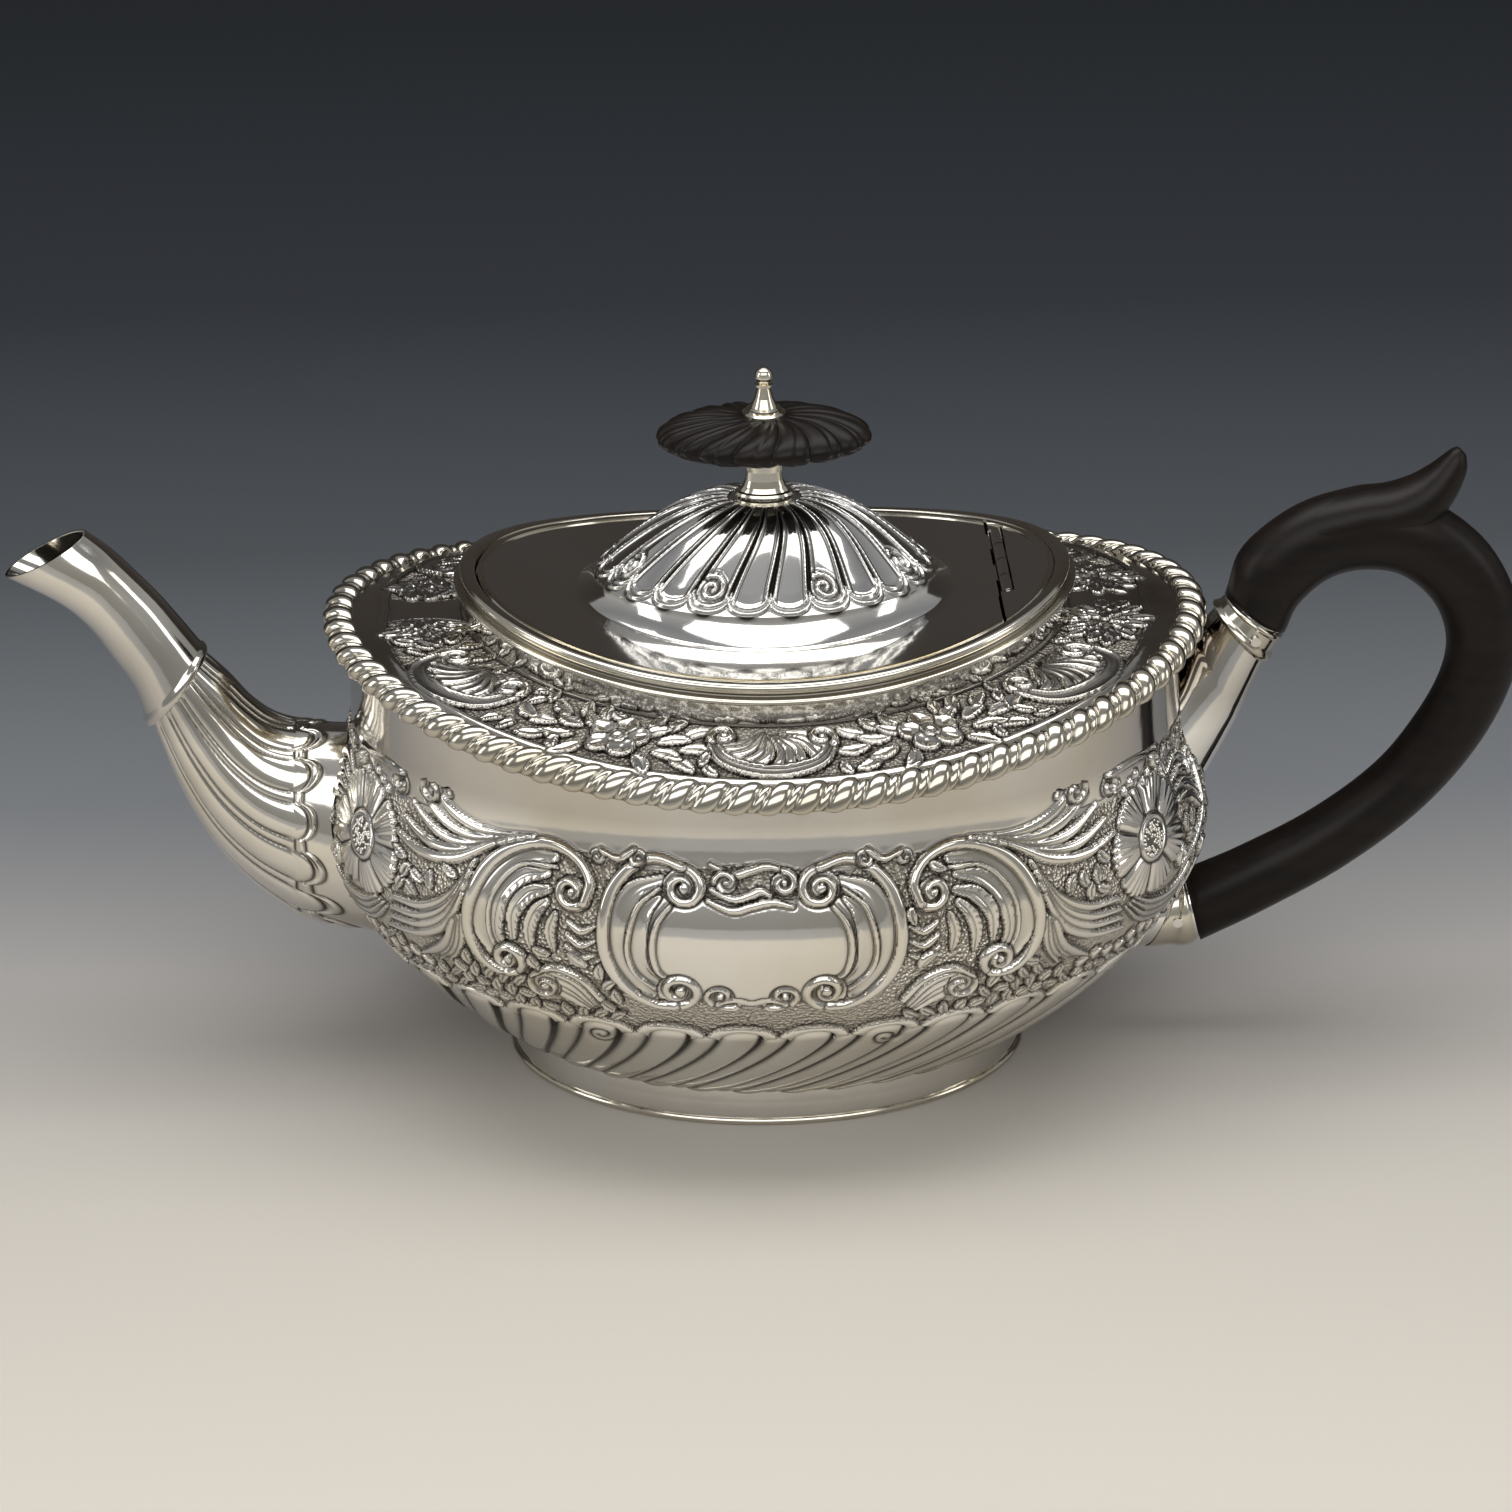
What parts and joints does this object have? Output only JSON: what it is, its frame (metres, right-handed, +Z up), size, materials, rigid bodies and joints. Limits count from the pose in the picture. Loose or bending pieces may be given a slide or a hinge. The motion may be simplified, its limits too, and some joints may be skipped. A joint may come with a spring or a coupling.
{
  "type": "teapot",
  "caption": "Oval silver teapot with chased body, gadrooned rim, hinged domed lid, sleeved spout and ebony loop handle and knob.",
  "frame": {"origin": "middle of the foot's bottom, on the table", "axes": "+X towards the handle, the spout at -X; +Y to the side away from the viewer; +Z up"},
  "size_m": [0.2743, 0.1266, 0.1323],
  "materials": {
    "silver": "polished silver, dark in the recesses",
    "worn_silver": "polished silver with a warm tarnish",
    "ebony_grip": "satin ebony",
    "ebony_knob": "satin carved ebony"
  },
  "bodies": {
    "pot": {"body_bowl": "silver", "base_plate": "silver", "foot_ring": "silver", "foot_wire": "worn_silver", "shoulder": "silver", "gadroon_border": "worn_silver", "collar": "silver", "lid_frame": "worn_silver", "lid_ledge": "silver", "spout_base": "silver", "spout_tube": "silver", "upper_socket": "silver", "upper_socket_band": "worn_silver", "lower_socket": "silver", "lower_socket_band": "worn_silver", "handle": "ebony_grip", "upper_handle_pin": "silver", "lower_handle_pin": "silver", "end_plate": "silver", "end_plate_wire": "worn_silver", "hinge_leaf_fixed": "silver", "hinge_pin": "silver"},
    "lid": {"lid": "silver", "lid_edge_wire": "worn_silver", "lid_bezel": "silver", "hinge_leaf_lid": "silver", "knob_stem": "worn_silver", "knob_button": "ebony_knob", "knob_finial": "worn_silver", "knob_stud": "silver", "knob_washer": "silver", "knob_nut": "silver"}
  },
  "joints": [
    {"name": "lid_hinge", "type": "hinge", "parent": "pot", "child": "lid", "pos_m": [0.04335, 0, 0.09182], "axis": [0, 1, 0], "range_deg": [0, 95]}
  ]
}
